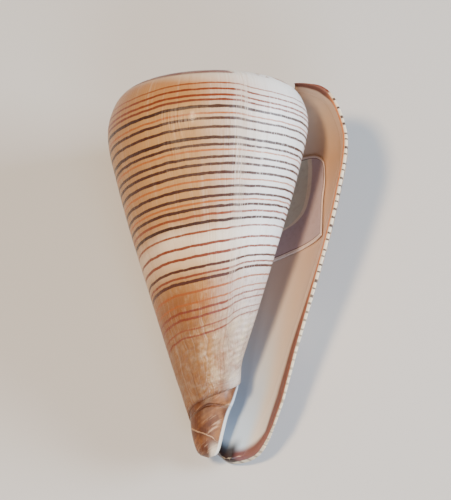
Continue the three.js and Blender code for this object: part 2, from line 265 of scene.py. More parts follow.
# Paints, 0 to 255. Colours by depth on the lip, outside and inside.
GROUND = [(0, (214, 188, 158)), (4.5, (236, 224, 206)), (6.5, (230, 204, 176)),
          (9, (196, 142, 92)), (13, (186, 138, 84)), (18, (184, 138, 84)),
          (48, (188, 140, 88)), (53, (238, 214, 184)), (60, (220, 182, 138)),
          (64, (184, 134, 78)), (69, (166, 106, 50)), (76, (162, 110, 56)),
          (82, (172, 124, 70)), (92, (164, 116, 66)), (104, (150, 96, 54)),
          (126, (158, 104, 62))]
LINING = [(0, (196, 160, 136)), (3.7, (214, 188, 164)),
          (8, (224, 192, 162)), (18, (220, 176, 140)), (35, (224, 190, 166)),
          (55, (232, 208, 188)), (75, (236, 222, 208)), (92, (236, 230, 224)),
          (126, (236, 232, 226))]
LINE_DARK = (56, 27, 17)
LINE_RED = (124, 54, 30)
LINE_ORANGE = (168, 90, 34)
PORCELAIN = (240, 240, 240)
PALE_OCHRE = (226, 190, 148)
BURNT_OCHRE = (140, 76, 36)
SAND = (220, 194, 156)
CLAY = (140, 80, 42)
# Painted shade: the low left side and the left limb of the outside made darker.
LOW_LEFT_PAINTED_SHADE = (108, 58, 28)
LEFT_LIMB_PAINTED_SHADE = (136, 90, 54)
GROWTH_LIGHT = (246, 236, 222)
GROWTH_DARK = (168, 120, 84)
WRINKLE_BROWN = (118, 68, 40)
BONE = (226, 214, 202)
# Painted shade in the crease where the wall ends over the pillar.
BRIM_PAINTED_SHADE = (92, 50, 32)
FLAME_RED = (112, 28, 10)
FLAME_TAN = (150, 84, 40)
PILLAR_DARK = (90, 48, 25)
PILLAR_LIGHT = (138, 88, 50)
PILLAR_CORD_DARK = (84, 44, 28)
PILLAR_CORD_LIGHT = (218, 178, 140)
PILLAR_CREASE = (84, 46, 30)
PILLAR_THREAD = (226, 180, 138)
PILLAR_TIP = (232, 212, 186)
GLAZE_BLUISH = (196, 214, 232)
GLAZE_CREAM = (232, 222, 206)
# Painted cool skylight in the shaded lining.
SKYLIGHT_PAINTED_BLUE = (196, 222, 250)
RIM_ORANGE = (196, 112, 50)
RIM_BROWN = (112, 44, 26)
RIM_TOP_BROWN = (92, 34, 22)
# Painted shadow deep in the siphonal notch.
NOTCH_PAINTED_SHADOW = (34, 22, 20)
LIP_FACE = (222, 206, 180)
LIP_TICK = (74, 48, 36)
PAPER = (238, 222, 204)
PAPER_BAND = (194, 174, 180)
PAPER_FIELD = (214, 208, 194)
PAPER_MARGIN = (236, 216, 208)
PAPER_LINE = (92, 66, 60)
PAPER_FIBRE = (150, 126, 118)

# The paper label on the inner face of the wall. Its near side and its lower edge are given as
# [share of the way, place], in degrees back from the lip and in depth.
LABEL_NEAR_SIDE = [(0, 30), (0.25, 27), (0.6, 23), (1, 13)]
LABEL_FAR_SIDE = 78.0
LABEL_TOP = 14.0
LABEL_BOTTOM = [(0, 37), (0.5, 39.5), (1, 43)]
LABEL_CORNER = 0.3
LABEL_CORNER_DROP = 6.0
LABEL_GAP = 0.33
LABEL_THICKNESS = 0.29
LABEL_COLUMNS = 64
LABEL_ROWS = 72
LABEL_MARGIN = 0.85
LABEL_LINE = 0.1
# Where the lilac panel ends, in degrees back from the lip, by depth.
LABEL_PANEL_SPAN = 50.0
LABEL_PANEL_REACH = 100.0
LABEL_PANEL = [(14, 43), (20, 41.5), (26, 40.5), (29, 42), (31, 46), (33, 55), (35, 70), (37, 90)]

# How the shell lies, and where the middle of its coil is then.
REST_ROLL = radians(2.3)
REST_PITCH = radians(14.6)
COIL_PLACE = Vector((-2.7385, 37.5879, 29.4343))
# The grown shape is made this little smaller, so that it stays inside the box of the solids.
INNER_SCALE = 0.9993

# Camera, as the photograph was taken.
CAMERA_PLACE = Vector((16.997, -202.720, 422.413))
CAMERA_TARGET = Vector((-0.637, 1.836, 21.981))
CAMERA_ROLL = radians(-5.47)
FOCAL_PIXELS = 1980
IMAGE_HEIGHT = 500
SENSOR = 36.0

# Floor and lights, in metres: [name, place, power, size, colour].
FLOOR_HALF_SIZE = 3.0
FLOOR_COLOUR = (0.66, 0.65, 0.64)
FLOOR_ROUGHNESS = 0.9
LIGHTS = [
    ("window", (0.78, 0.0, 0.26), 13.5, 0.34, (0.8, 0.9, 1.0)),
    ("lamp", (-0.21, -0.17, 0.70), 6.2, 0.09, (1.0, 0.74, 0.46)),
    ("side_fill", (-0.5, -0.05, 0.6), 0.3, 0.5, (1.0, 0.86, 0.72)),
    ("front_fill", (0.18, -0.72, 0.5), 4.8, 0.4, (0.62, 0.8, 1.0)),
]
SKY_COLOUR = (0.95, 0.96, 1.0)
SKY_STRENGTH = 0.17


class Field:
    """A value that a node tree works out at every point, written like a sum."""

    def __init__(self, tree, socket):
        self.tree = tree
        self.socket = socket

    def math(self, operation, *others):
        made = self.tree.nodes.new("ShaderNodeMath")
        made.operation = operation
        for number, item in enumerate((self, *others)):
            feed(self.tree, made.inputs[number], item)
        return Field(self.tree, made.outputs[0])

    def __add__(self, other):
        return self.math("ADD", other)

    def __radd__(self, other):
        return self.math("ADD", other)

    def __sub__(self, other):
        return self.math("SUBTRACT", other)

    def __rsub__(self, other):
        return self.math("MULTIPLY_ADD", -1.0, other)

    def __mul__(self, other):
        return self.math("MULTIPLY", other)

    def __rmul__(self, other):
        return self.math("MULTIPLY", other)

    def __truediv__(self, other):
        return self.math("DIVIDE", other)

    def __pow__(self, other):
        return self.math("POWER", other)

    def __neg__(self):
        return self.math("MULTIPLY", -1.0)

    def lowest(self, other):
        return self.math("MINIMUM", other)

    def highest(self, other):
        return self.math("MAXIMUM", other)

    def between(self, low, high):
        return self.highest(low).lowest(high)


def feed(tree, socket, item):
    """Links a field to a socket, or sets the socket to a plain value."""
    if isinstance(item, Field):
        tree.links.new(item.socket, socket)
    elif isinstance(item, bpy.types.NodeSocket):
        tree.links.new(item, socket)
    else:
        socket.default_value = item


def node(tree, kind, settings=None, **inputs):
    """A new node with its settings made and its named inputs fed."""
    made = tree.nodes.new(kind)
    for name, value in (settings or {}).items():
        setattr(made, name, value)
    for name, item in inputs.items():
        feed(tree, made.inputs[name.replace("_", " ")], item)
    return made


def ramp(field, low, high):
    """0 up to low and 1 from high on, eased between. High may be the smaller of the two."""
    made = node(field.tree, "ShaderNodeMapRange", {"interpolation_type": "SMOOTHSTEP"},
                Value=field, From_Min=low, From_Max=high)
    return Field(field.tree, made.outputs["Result"])


def fall(field, low, high):
    """1 up to low and 0 from high on, eased between."""
    return 1 - ramp(field, low, high)


def zone(field, start, full, fade, gone):
    """0 outside a zone and 1 in the middle of it, eased between."""
    return ramp(field, start, full) * fall(field, fade, gone)


def ramp_between(field, low, high):
    """As ramp, where low and high are fields too."""
    share = ((field - low) / (high - low)).between(0.0, 1.0)
    return share * share * (3 - 2 * share)


def wave(turns):
    """A sine wave, by turns."""
    return (turns * FULL_TURN).math("RADIANS").math("SINE")


def table(field, points, span, reach, handle="AUTO"):
    """Value of a table of (place, value) points, for places up to span and values up to reach."""
    made = node(field.tree, "ShaderNodeFloatCurve", Value=field / span)
    curve = made.mapping.curves[0]
    spots = [(place / span, value / reach) for place, value in points]
    if spots[0][0] > 0:
        spots.insert(0, (0.0, spots[0][1]))
    if spots[-1][0] < 1:
        spots.append((1.0, spots[-1][1]))
    while len(curve.points) < len(spots):
        curve.points.new(0.5, 0.5)
    for point, spot in zip(curve.points, spots):
        point.location = spot
        point.handle_type = handle
    made.mapping.update()
    return Field(field.tree, made.outputs["Value"]) * reach


def vector(tree, x, y, z):
    """Three values as one vector."""
    return node(tree, "ShaderNodeCombineXYZ", X=x, Y=y, Z=z).outputs["Vector"]


def grid_of(tree, columns, rows):
    """A grid to be bent into shape, and each point's place on it across and up, -0.5 to 0.5."""
    grid = node(tree, "GeometryNodeMeshGrid", Size_X=1.0, Size_Y=1.0, Vertices_X=columns + 1,
                Vertices_Y=rows + 1)
    return grid.outputs["Mesh"], *place_of(tree)[:2]


def place_of(tree):
    """The x, y and z of each point of a shape."""
    spot = node(tree, "ShaderNodeSeparateXYZ",
                Vector=node(tree, "GeometryNodeInputPosition").outputs[0])
    return [Field(tree, spot.outputs[axis]) for axis in "XYZ"]


def new_group(name, kind, inputs, outputs):
    """An empty node group with its named inputs and outputs."""
    tree = bpy.data.node_groups.new(name, kind)
    for in_out, sockets in (("INPUT", inputs), ("OUTPUT", outputs)):
        for socket_name, socket_kind, value in sockets:
            socket = tree.interface.new_socket(
                socket_name, in_out=in_out, socket_type="NodeSocket" + socket_kind)
            if value is not None:
                socket.default_value = value
    return tree, tree.nodes.new("NodeGroupInput"), tree.nodes.new("NodeGroupOutput")


def spline_depth(index):
    """Depth of the profile at an index, on the smooth line through its points."""
    start = min(int(index), LAST_INDEX - 1)
    share = index - start
    before, low, high, after = (
        PROFILE[min(max(number, 0), LAST_INDEX)][1] for number in range(start - 1, start + 3))
    slope_low = (high - before) / 2
    slope_high = (after - low) / 2
    bend = 2 * low - 2 * high + slope_low + slope_high
    return low + share * (slope_low + share * (3 * (high - low) - 2 * slope_low - slope_high
                                               + share * bend))


def index_at(depth):
    """Place on the profile where it reaches a depth."""
    low, high = 0.0, float(LAST_INDEX)
    for _ in range(30):
        middle = (low + high) / 2
        if spline_depth(middle) < depth:
            low = middle
        else:
            high = middle
    return low


def profile_group():
    """Node group: a place on the profile, carried back round the coil, as radius and depth."""
    tree, given, made = new_group(
        "Profile point", "GeometryNodeTree",
        [("Index", "Float", 0.0), ("Back", "Float", 0.0), ("Width rate", "Float", WIDTH_RATE),
         ("Depth rate", "Float", DEPTH_RATE)],
        [("Radius", "Float", None), ("Depth", "Float", None), ("Lip depth", "Float", None)])
    index = Field(tree, given.outputs["Index"])
    back = Field(tree, given.outputs["Back"])
    lip_radius, lip_depth = (
        table(index, [(number, point[part]) for number, point in enumerate(PROFILE)],
              LAST_INDEX, reach)
        for part, reach in enumerate((RADIUS_REACH, DEPTH_REACH)))
    turns = back / FULL_TURN
    fade = fall(back, 0.0, FLARE_FADE)
    top = fall(lip_depth, LIP_RISE_FROM, LIP_RISE_TO)
    flare = table(lip_depth, FLARE, DEPTH_REACH, 1.0, "VECTOR")
    narrower = Field(tree, given.outputs["Width rate"]) ** -turns
    shorter = Field(tree, given.outputs["Depth rate"]) ** -turns
    feed(tree, made.inputs["Radius"], lip_radius * narrower * (1 + flare * fade))
    feed(tree, made.inputs["Depth"], lip_depth * shorter - fade * top * LIP_RISE)
    feed(tree, made.inputs["Lip depth"], lip_depth)
    return tree


def store(tree, shape, **values):
    """Keeps values on a shape for its material to read."""
    for name, value in values.items():
        shape = node(tree, "GeometryNodeStoreNamedAttribute", {"data_type": "FLOAT"},
                     Geometry=shape, Name=name, Value=value).outputs["Geometry"]
    return shape


def coil_position(tree, sizes, radius, depth, back):
    """Where a place on the coil is, round the coil's own axis."""
    angle = (back + sizes["Lip angle"]).math("RADIANS")
    return vector(tree, radius * angle.math("SINE"), sizes["Apex height"] - depth,
                  radius * angle.math("COSINE"))


def wall_thickness(sizes, back):
    return table(back, WALL, SHEET_END, WALL_REACH, "VECTOR") * sizes["Wall"]


def rounded(share):
    """0 at an edge, rising to 1 as a rounded edge does."""
    inward = 1 - share.between(0.0, 1.0)
    return (1 - inward ** EDGE_POWER).highest(0.0) ** (1 / EDGE_POWER)


def profile_point(tree, profile, sizes, index, back):
    """Radius and depth of a place on the coil, and the depth that it had at the lip."""
    made = node(tree, "GeometryNodeGroup", {"node_tree": profile}, Index=index, Back=back,
                Width_rate=sizes["Width rate"], Depth_rate=sizes["Depth rate"])
    return [Field(tree, made.outputs[name]) for name in ("Radius", "Depth", "Lip depth")]


def profile_slope(tree, profile, sizes, index, back):
    """How far down and how far out the profile goes there, for each length along it."""
    radius_before, depth_before, _ = profile_point(tree, profile, sizes, index - SLOPE_INDEX, back)
    radius_after, depth_after, _ = profile_point(tree, profile, sizes, index + SLOPE_INDEX, back)
    down = depth_after - depth_before
    out = radius_after - radius_before
    length = (down * down + out * out).math("SQRT")
    return down / length, out / length


def wall_sheet(tree, sizes, profile, columns, rows, back_of, index_of, edges):
    """A sheet of shell wall: down its outside, round its edge and back up its inside."""
    grid, grid_x, grid_y = grid_of(tree, columns, 2 * rows)
    column = ((grid_x + 0.5) * columns).math("ROUND")
    loop = ((grid_y + 0.5) * (2 * rows)).math("ROUND")
    inside = loop.math("GREATER_THAN", rows + 0.5)
    row = rows - (loop - rows).math("ABSOLUTE")
    back = back_of(column)
    index = index_of(row, back)

    radius, depth, lip_depth = profile_point(tree, profile, sizes, index, back)
    down, out = profile_slope(tree, profile, sizes, index, back)
    taper = ramp(index, 0.0, TOP_TAPER_INDEX) * (1 - TOP_THINNESS) + TOP_THINNESS
    edge, end_gap = edges(index, back)
    across = 0.5 * (1 - edge * (1 - inside * 2))
    inset = wall_thickness(sizes, back) * taper * across
    position = coil_position(tree, sizes, radius - inset * down, depth + inset * out, back)
    shape = store(tree, grid, back=back, lip_depth=lip_depth, across=across,
                  lip_gap=back.math("RADIANS") * radius, end_gap=end_gap)
    return node(tree, "GeometryNodeSetPosition", Geometry=shape, Position=position).outputs[0]


def main_wall(tree, sizes, profile):
    """The last turn and a half, from the lip to deep inside."""
    fine_end = FINE_COLUMNS * FINE_STEP + LIP_ROUNDING
    coarse_columns = round((SHEET_END - fine_end) / COARSE_STEP)
    coarse_step = (SHEET_END - fine_end) / coarse_columns
    columns = LIP_COLUMNS + FINE_COLUMNS + coarse_columns
    end_spots = [(back, index_at(depth * DEPTH_RATE ** (back / FULL_TURN)))
                 for back, depth in WALL_END]

    def back_of(column):
        lip = (column / LIP_COLUMNS).lowest(1.0)
        fine = (column - LIP_COLUMNS).between(0.0, FINE_COLUMNS)
        coarse = (column - (LIP_COLUMNS + FINE_COLUMNS)).highest(0.0)
        return lip * lip * LIP_ROUNDING + fine * FINE_STEP + coarse * coarse_step

    def end_of(back):
        return table(back, end_spots, SHEET_END, LAST_INDEX)

    def index_of(row, back):
        top = (row / TOP_ROWS).lowest(1.0)
        side = ((row - TOP_ROWS) / SIDE_ROWS).between(0.0, 1.0)
        rim = 1 - ((row - (TOP_ROWS + SIDE_ROWS)) / EDGE_ROWS).highest(0.0)
        return (top * SHOULDER_INDEX + side * (end_of(back) - (SHOULDER_INDEX + EDGE_INDEX))
                + (1 - rim * rim) * EDGE_INDEX)

    def edges(index, back):
        deep = rounded((SHEET_END - back) / LIP_ROUNDING)
        hidden = ramp(index, SPIRE_INDEX, SPIRE_INDEX + 1.0)
        beyond = end_of(back) - index
        edge = (rounded(back / LIP_ROUNDING) * rounded(beyond / EDGE_INDEX * 2)
                * rounded(index / SEAM_INDEX) * (1 - hidden * (1 - deep)))
        return edge, beyond * FRONT_SPACING

    rows = TOP_ROWS + SIDE_ROWS + EDGE_ROWS
    return wall_sheet(tree, sizes, profile, columns, rows, back_of, index_of, edges)


def spire_wall(tree, sizes, profile):
    """The tops of the older turns, up to the apex."""
    rows = round(TOP_ROWS * SPIRE_INDEX / SHOULDER_INDEX)
    columns = round((SPIRE_END - SHEET_END) / SPIRE_STEP)

    def back_of(column):
        return column * SPIRE_STEP + SHEET_END

    def index_of(row, back):
        return row * (SPIRE_INDEX / rows)

    def edges(index, back):
        edge = (rounded(index / SEAM_INDEX) * rounded((SPIRE_INDEX - index) / SEAM_INDEX)
                * rounded((SPIRE_END - back) / FULL_TURN))
        return edge, DEPTH_REACH

    return wall_sheet(tree, sizes, profile, columns, rows, back_of, index_of, edges)


def pillar(tree):
    """The pillar that the front of the shell turns round, closed at its ends."""
    foot = PILLAR[0][0]
    length = PILLAR[-1][0] - foot
    grid, grid_x, grid_y = grid_of(tree, PILLAR_SIDES, PILLAR_ROWS)
    angle = ((grid_x + 1.0) * FULL_TURN).math("RADIANS")
    share = grid_y + 0.5
    up = share * length
    across, out, half_width, half_thickness = (
        table(up, [(row[0] - foot, row[part] + shift) for row in PILLAR], length,
              PILLAR_REACH) - shift
        for part, shift in enumerate(PILLAR_SHIFTS, start=1))
    closed = rounded(share * PILLAR_END_PARTS) * rounded((1 - share) * PILLAR_END_PARTS)
    position = vector(tree, across + half_width * closed * angle.math("SINE"), up + foot,
                      out + half_thickness * closed * angle.math("COSINE"))
    shape = store(tree, grid, back=angle.math("SINE") * PILLAR_SPAN + PILLAR_BACK,
                  lip_depth=PILLAR_DEPTH - up * PILLAR_SCALE, across=0.0, lip_gap=PILLAR_DEPTH,
                  end_gap=PILLAR_DEPTH)
    return node(tree, "GeometryNodeSetPosition", Geometry=shape, Position=position).outputs[0]


def label_shape(tree, sizes, profile):
    """The label: a thin curved sheet that follows the inner face of the wall.

    Its face has one more ring of points round it, which drop to the rear and make the edge.
    """
    counts = (LABEL_COLUMNS, LABEL_ROWS)
    grid, *places = grid_of(tree, LABEL_COLUMNS + 2, LABEL_ROWS + 2)
    steps = [(place + 0.5) * (count + 2) - 1 for place, count in zip(places, counts)]
    beyond = [(step - count * 0.5).math("ABSOLUTE").math("GREATER_THAN", count * 0.5 + 0.5)
              for step, count in zip(steps, counts)]
    across = (steps[0] / LABEL_COLUMNS).between(0.0, 1.0)
    down = (steps[1] / LABEL_ROWS).between(0.0, 1.0)
    near = table(down, LABEL_NEAR_SIDE, 1.0, FULL_TURN)
    back = near + (LABEL_FAR_SIDE - near) * across
    corner = (1 - across / LABEL_CORNER).highest(0.0)
    top = LABEL_TOP + LABEL_CORNER_DROP * (1 - (1 - corner * corner).math("SQRT"))
    bottom = table(across, LABEL_BOTTOM, 1.0, DEPTH_REACH, "VECTOR")
    depth = top + (bottom - top) * down
    lip_depth = depth * (sizes["Depth rate"] ** (back / FULL_TURN))
    shoulder = [(point[1], number) for number, point in enumerate(PROFILE) if number > 1]
    index = table(lip_depth, shoulder, DEPTH_REACH, LAST_INDEX)
    radius, depth_there, _ = profile_point(tree, profile, sizes, index, back)
    slope_down, slope_out = profile_slope(tree, profile, sizes, index, back)
    wall = wall_thickness(sizes, back)

    def sheet(lift):
        inset = wall + lift
        place = coil_position(tree, sizes, radius - inset * slope_down,
                              depth_there + inset * slope_out, back)
        return node(tree, "GeometryNodeSetPosition", Geometry=shape, Position=place).outputs[0]

    shape = store(tree, grid, back=back, depth=depth,
                  from_side=(back - near).math("RADIANS") * radius, from_foot=bottom - depth,
                  from_head=depth - top)
    sides = beyond[0].highest(beyond[1])
    face = sheet((1 - sides) * LABEL_THICKNESS + LABEL_GAP)
    rear = node(tree, "GeometryNodeFlipFaces", Mesh=sheet(LABEL_GAP)).outputs[0]
    both = node(tree, "GeometryNodeJoinGeometry")
    for part in (face, rear):
        tree.links.new(part, both.inputs["Geometry"])
    return node(tree, "GeometryNodeMergeByDistance", Geometry=both.outputs[0],
                Distance=SEAM_MERGE).outputs[0]


def lay_down(tree, shape):
    """Turns what was built round the coil's own axis into the way the shell lies, in metres."""
    rolled = node(tree, "GeometryNodeTransform", Geometry=shape,
                  Rotation=Euler((0.0, REST_ROLL, 0.0)))
    laid = node(tree, "GeometryNodeTransform", Geometry=rolled.outputs[0],
                Rotation=Euler((REST_PITCH, 0.0, 0.0)), Translation=COIL_PLACE)
    scale = MM * INNER_SCALE
    small = node(tree, "GeometryNodeTransform", Geometry=laid.outputs[0],
                 Scale=(scale, scale, scale))
    x, y, z = place_of(tree)
    return node(tree, "GeometryNodeSetPosition", Geometry=small.outputs[0],
                Position=vector(tree, x, y, z.highest(0.0))).outputs[0]


def grow_tree(name, build, sizes, profile, material):
    """A node tree with named sizes that builds a shape, lays it down and gives its material."""
    tree, given, made = new_group(
        name, "GeometryNodeTree",
        [("Geometry", "Geometry", None)] + [(size, "Float", value) for size, value in sizes],
        [("Geometry", "Geometry", None)])
    fields = {size: Field(tree, given.outputs[size]) for size, _ in sizes}
    shape = lay_down(tree, build(tree, fields, profile))
    real = node(tree, "GeometryNodeRealizeInstances", Geometry=shape)
    smooth = node(tree, "GeometryNodeSetShadeSmooth", Geometry=real.outputs[0])
    coated = node(tree, "GeometryNodeSetMaterial", Geometry=smooth.outputs[0], Material=material)
    feed(tree, made.inputs["Geometry"], coated.outputs[0])
    return tree


def grown_object(name, tree, sizes):
    """A plain mesh object made by a node tree, with the tree's sizes set."""
    base = bpy.data.objects.new(name + "_base", bpy.data.meshes.new(name + "_base"))
    bpy.context.scene.collection.objects.link(base)
    modifier = base.modifiers.new("grow", "NODES")
    modifier.node_group = tree
    values = dict(sizes)
    for item in tree.interface.items_tree:
        if item.in_out == "INPUT" and item.name in values:
            modifier[item.identifier] = values[item.name]
    base.update_tag()
    bpy.context.view_layer.update()
    graph = bpy.context.evaluated_depsgraph_get()
    mesh = bpy.data.meshes.new_from_object(
        base.evaluated_get(graph), preserve_all_data_layers=True, depsgraph=graph)
    bpy.data.objects.remove(base)
    mesh.name = name
    made = bpy.data.objects.new(name, mesh)
    bpy.context.scene.collection.objects.link(made)
    return made


def shell_shape(tree, sizes, profile):
    """The whole shell: its wall, the tops of its older turns and its pillar."""
    walls = node(tree, "GeometryNodeJoinGeometry")
    for part in (main_wall(tree, sizes, profile), spire_wall(tree, sizes, profile), pillar(tree)):
        tree.links.new(part, walls.inputs["Geometry"])
    merged = node(tree, "GeometryNodeMergeByDistance", Geometry=walls.outputs[0],
                  Distance=SEAM_MERGE)
    return merged.outputs[0]


def srgb(colour):
    """A paint given as 0 to 255, as the share of light that it stands for on the sRGB curve."""
    shares = [value / 255 for value in colour]
    return (*(share / 12.92 if share < 0.04 else ((share + 0.055) / 1.055) ** 2.4
              for share in shares), 1.0)


def attribute(tree, name):
    """A value that was kept on the shape."""
    return Field(tree, node(tree, "ShaderNodeAttribute", {"attribute_name": name}).outputs["Fac"])


def noise(tree, at, scale, detail=2.0, roughness=0.5):
    made = node(tree, "ShaderNodeTexNoise", Vector=at, Scale=scale, Detail=detail,
                Roughness=roughness)
    return Field(tree, made.outputs[0])


def mix(factor, below, above):
    """One colour turning into another as the factor goes from 0 to 1."""
    made = node(factor.tree, "ShaderNodeMix", {"data_type": "RGBA"})
    for number, item in ((0, factor), (6, below), (7, above)):
        feed(factor.tree, made.inputs[number], srgb(item) if isinstance(item, tuple) else item)
    return made.outputs[2]


def colours(field, stops, span):
    """Colour of a table of (place, colour) stops, for places up to span."""
    made = node(field.tree, "ShaderNodeValToRGB", Fac=field / span)
    elements = made.color_ramp.elements
    elements.remove(elements[1])
    elements[0].position = stops[0][0] / span
    elements[0].color = srgb(stops[0][1])
    for place, colour in stops[1:]:
        elements.new(place / span).color = srgb(colour)
    return made.outputs["Color"]


def drawn_noise(across, along, across_scale, along_scale, shift=0.0, detail=3.0, roughness=0.6):
    """Noise over two fields, drawn out by its own scale in each. The shift gives another pattern."""
    at = vector(across.tree, across * across_scale, along * along_scale, shift)
    return noise(across.tree, at, 1.0, detail, roughness)


def painted(colour, coats):
    """A colour under coats of paint, laid on in turn: [mask, paint]."""
    for mask, paint in coats:
        colour = mix(mask, colour, paint)
    return colour


def pattern_group(name, outputs):
    """A shader node group over depth and degrees back, with those two fields."""
    tree, given, made = new_group(
        name, "ShaderNodeTree", [("Depth", "Float", 0.0), ("Back", "Float", 0.0)], outputs)
    return tree, made, Field(tree, given.outputs["Depth"]), Field(tree, given.outputs["Back"])


def line_group():
    """Node group: the thin brown lines, as a mask and a colour."""
    tree, made, depth, back = pattern_group(
        "Brown lines", [("Mask", "Float", None), ("Colour", "Color", None)])
    sway = table(back, SWAY, SHEET_END, SWAY_REACH)
    ripple = drawn_noise(back, depth, LINE_RIPPLE_SCALE, LINE_RIPPLE_SCALE, roughness=0.5) - 0.5
    level = depth - sway * (1 - (depth - SWAY_TOP) / SWAY_MIDDLE) + ripple * LINE_RIPPLE
    numbers = [(line[0], number) for number, line in enumerate(LINES)]
    nearest = table(level, numbers, LINES_REACH, LAST_LINE, "VECTOR").math("ROUND")

    def of_line(part, reach=1.0):
        """What the list of lines gives for the nearest one."""
        values = [(number, line[part]) for number, line in enumerate(LINES)]
        return table(nearest, values, LAST_LINE, reach, "VECTOR")

    miss = (level - of_line(0, LINES_REACH)).math("ABSOLUTE")
    boldness = of_line(1)
    warmth = of_line(2)
    along = drawn_noise(back, nearest, 0.2, 7.3)
    streak = drawn_noise(back, depth, 1.1, 0.05, detail=2.0, roughness=0.7)
    scar = zone(back, *SCAR_BREAK)
    right = ramp(back, *RIGHT_OF_SCAR)
    half = LINE_HALF_WIDTH * (boldness * 0.7 + 0.25) * (0.7 + along * 0.6) * (1 - right * 0.12)
    mask = 1 - ramp_between(miss, half - LINE_SOFTNESS, half + LINE_SOFTNESS)
    strength = (0.75 + boldness * 0.4) * (0.85 + along * 0.4)
    strength = strength * (1 - scar * 0.25) * (1 - right * 0.1)
    strength = strength * (1 - ramp(streak, 0.54, 0.64) * (0.12 + right * 0.3 + scar * 0.5))
    strength = strength * (1 - right * ramp(depth, *FAINT_LINES) * 0.1)
    feed(tree, made.inputs["Mask"], (mask * strength).between(0.0, 1.0))
    bold = mix(ramp(warmth, 0.0, 0.5), LINE_DARK, LINE_RED)
    feed(tree, made.inputs["Colour"], mix(ramp(warmth, 0.5, 1.0), bold, LINE_ORANGE))
    return tree


def growth_group():
    """Node group: relief of the outside in millimetres, and streaks of growth as a mask."""
    tree, made, depth, back = pattern_group(
        "Growth", [("Height", "Float", None), ("Streaks", "Float", None)])
    front = ramp(depth, *FRONT_RELIEF)
    scar = zone(back, *SCAR_RELIEF)
    sway = drawn_noise(back, depth, 0.03, 0.09, roughness=0.5) - 0.5
    place = back + sway * (5 + front * 22)
    fine = drawn_noise(place, depth, 0.9, 0.03, roughness=0.7)
    broad = drawn_noise(place, depth, 0.22, 0.03, 3.0)

    def relief(over_side, at_scar, at_front):
        return over_side + scar * at_scar + front * at_front

    height = (fine - 0.5) * relief(*FINE_RELIEF) + (broad - 0.5) * relief(*BROAD_RELIEF)
    height = height + wave((depth + sway * 3) / CORD_SPACING) * front * CORD_RELIEF
    feed(tree, made.inputs["Height"], height)
    feed(tree, made.inputs["Streaks"], fine * 0.5 + broad * 0.5)
    return tree


def ground_colour(depth, back, left, place, streaks):
    """The wide bands of colour down the side, which turn white to the right of the scar."""
    blur = noise(depth.tree, place, 0.12, 4.0, 0.6)
    level = depth + (blur - 0.5) * 6 * ramp(depth, *BELOW_SHOULDER)
    level = level + left * zone(depth, *SHOULDER) * 2.2
    white = ramp(back + (streaks - 0.5) * 14, *WHITE_SIDE) * (1 - ramp(depth, *LESS_WHITE) * 0.35)
    white = white * (1 - ramp(depth, *LEAST_WHITE) * 0.5)
    return mix(white * 0.85, colours(level, GROUND, DEPTH_REACH), PORCELAIN)


def top_flames(depth, back):
    """Mask and paint of the dark flames on the low top of the coil."""
    flames = ramp(drawn_noise(back, depth, 0.075, 0.35, 5.0), 0.42, 0.5)
    flames = flames.highest(zone(back, *DARK_RIM) * 0.9) * (1 - zone(back, *BARE_RIM))
    return flames * fall(depth, *TOP) * 0.95, mix(ramp(back, *TAN_FLAMES), FLAME_RED, FLAME_TAN)


def outside_colour(tree, depth, back, end_gap, place, streaks):
    """Colour of the outside, from the top of the coil to the front end, with painted shade on its
    left side and along the wall's end.
    """
    left = fall(back, *LEFT_SIDE)
    front = ramp(depth, *FRONT_PAINT)
    ochre = zone(depth, *OCHRE_ZONE)
    near_end = fall(end_gap, *WRINKLED_END)
    # Painted shade along the crease where the wall ends, weaker on the pale right side.
    brim_shade = fall(end_gap, *BRIM) * (1 - ramp(back, *PALE_BRIM) * 0.7)
    mottle = noise(tree, place, 0.45, 5.0, 0.65)
    flecks = drawn_noise(back, depth, 0.18, 0.3, 2.0, 4.0, 0.65)
    wrinkles = drawn_noise(back, end_gap, 0.012, 0.8)
    lines = node(tree, "ShaderNodeGroup", {"node_tree": line_group()}, Depth=depth, Back=back)
    line_mask = Field(tree, lines.outputs["Mask"]) * zone(depth, *LINED_SIDE)
    return painted(ground_colour(depth, back, left, place, streaks), [
        (ramp(flecks, 0.5, 0.72) * ochre * 0.34, PALE_OCHRE),
        (ramp(flecks, 0.48, 0.3) * ochre * 0.45, BURNT_OCHRE),
        (ramp(mottle, 0.46, 0.7) * front * 0.65, SAND),
        (ramp(mottle, 0.5, 0.3) * front * 0.6, CLAY),
        # Painted shade on the low left side and on the left limb.
        (left * ramp(depth, *LOW_LEFT_SHADE_DEPTHS) * 0.55, LOW_LEFT_PAINTED_SHADE),
        (fall(back, *LEFT_LIMB_SHADE_SPAN) * 0.36, LEFT_LIMB_PAINTED_SHADE),
        (ramp(streaks, 0.52, 0.66) * (0.16 + front * 0.04), GROWTH_LIGHT),
        (ramp(streaks, 0.46, 0.34) * (0.2 + front * 0.3), GROWTH_DARK),
        (ramp(wrinkles, 0.46, 0.64) * near_end * 0.5, WRINKLE_BROWN),
        (near_end * ramp(back, *PALE_FRONT) * 0.55, BONE),
        (brim_shade * 0.7, BRIM_PAINTED_SHADE),
        (line_mask, lines.outputs["Colour"]),
        top_flames(depth, back),
    ])


def pillar_marks(depth, side):
    """Masks of a dark crease that arches over the front of the pillar and a light thread."""
    wobble = drawn_noise(side, depth, 2.4, 0.5) - 0.5
    up = (PILLAR_DEPTH - depth) / PILLAR_SCALE + wobble * 1.6
    crease = up - CREASE_UP + (side - 0.3) * (side - 0.3) * 1.5
    thread = (up - THREAD_UP + side * 1.6) * (1 + ramp(side, 0.4, 0.7) * 4)
    return [fall(mark.math("ABSOLUTE"), low, high)
            for mark, low, high in ((crease, 0.05, 0.5), (thread, 0.04, 0.24))]


